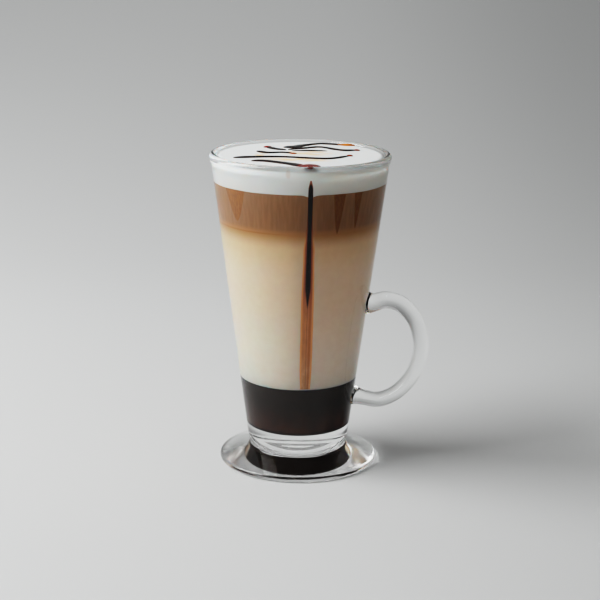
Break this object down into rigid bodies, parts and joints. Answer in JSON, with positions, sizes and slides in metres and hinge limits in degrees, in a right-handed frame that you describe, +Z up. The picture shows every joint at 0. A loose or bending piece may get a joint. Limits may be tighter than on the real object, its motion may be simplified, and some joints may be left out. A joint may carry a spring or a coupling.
{
  "type": "caffe mocha in a footed glass mug",
  "caption": "Layered caffe mocha in a clear footed glass mug with a handle: chocolate syrup, milk, coffee and milk foam with chocolate sauce.",
  "frame": {"origin": "middle of the foot's flat underside, on the glass's axis", "axes": "+Z up along the glass's axis, +X towards the handle"},
  "size_m": [0.098, 0.0794, 0.14],
  "materials": {
    "clear_glass": "clear polished soda glass",
    "chocolate_syrup": "thick dark syrup, glossy",
    "milk": "creamy milk, tinted with coffee",
    "coffee": "brown coffee, darker at the sides",
    "milk_foam": "fine white foam, matte",
    "chocolate_sauce": "thin dark sauce, glossy"
  },
  "bodies": {
    "root": {"glass_mug": "clear_glass", "chocolate_syrup": "chocolate_syrup", "milk": "milk", "coffee": "coffee", "milk_foam": "milk_foam", "sauce_streak": "chocolate_sauce"}
  },
  "joints": []
}
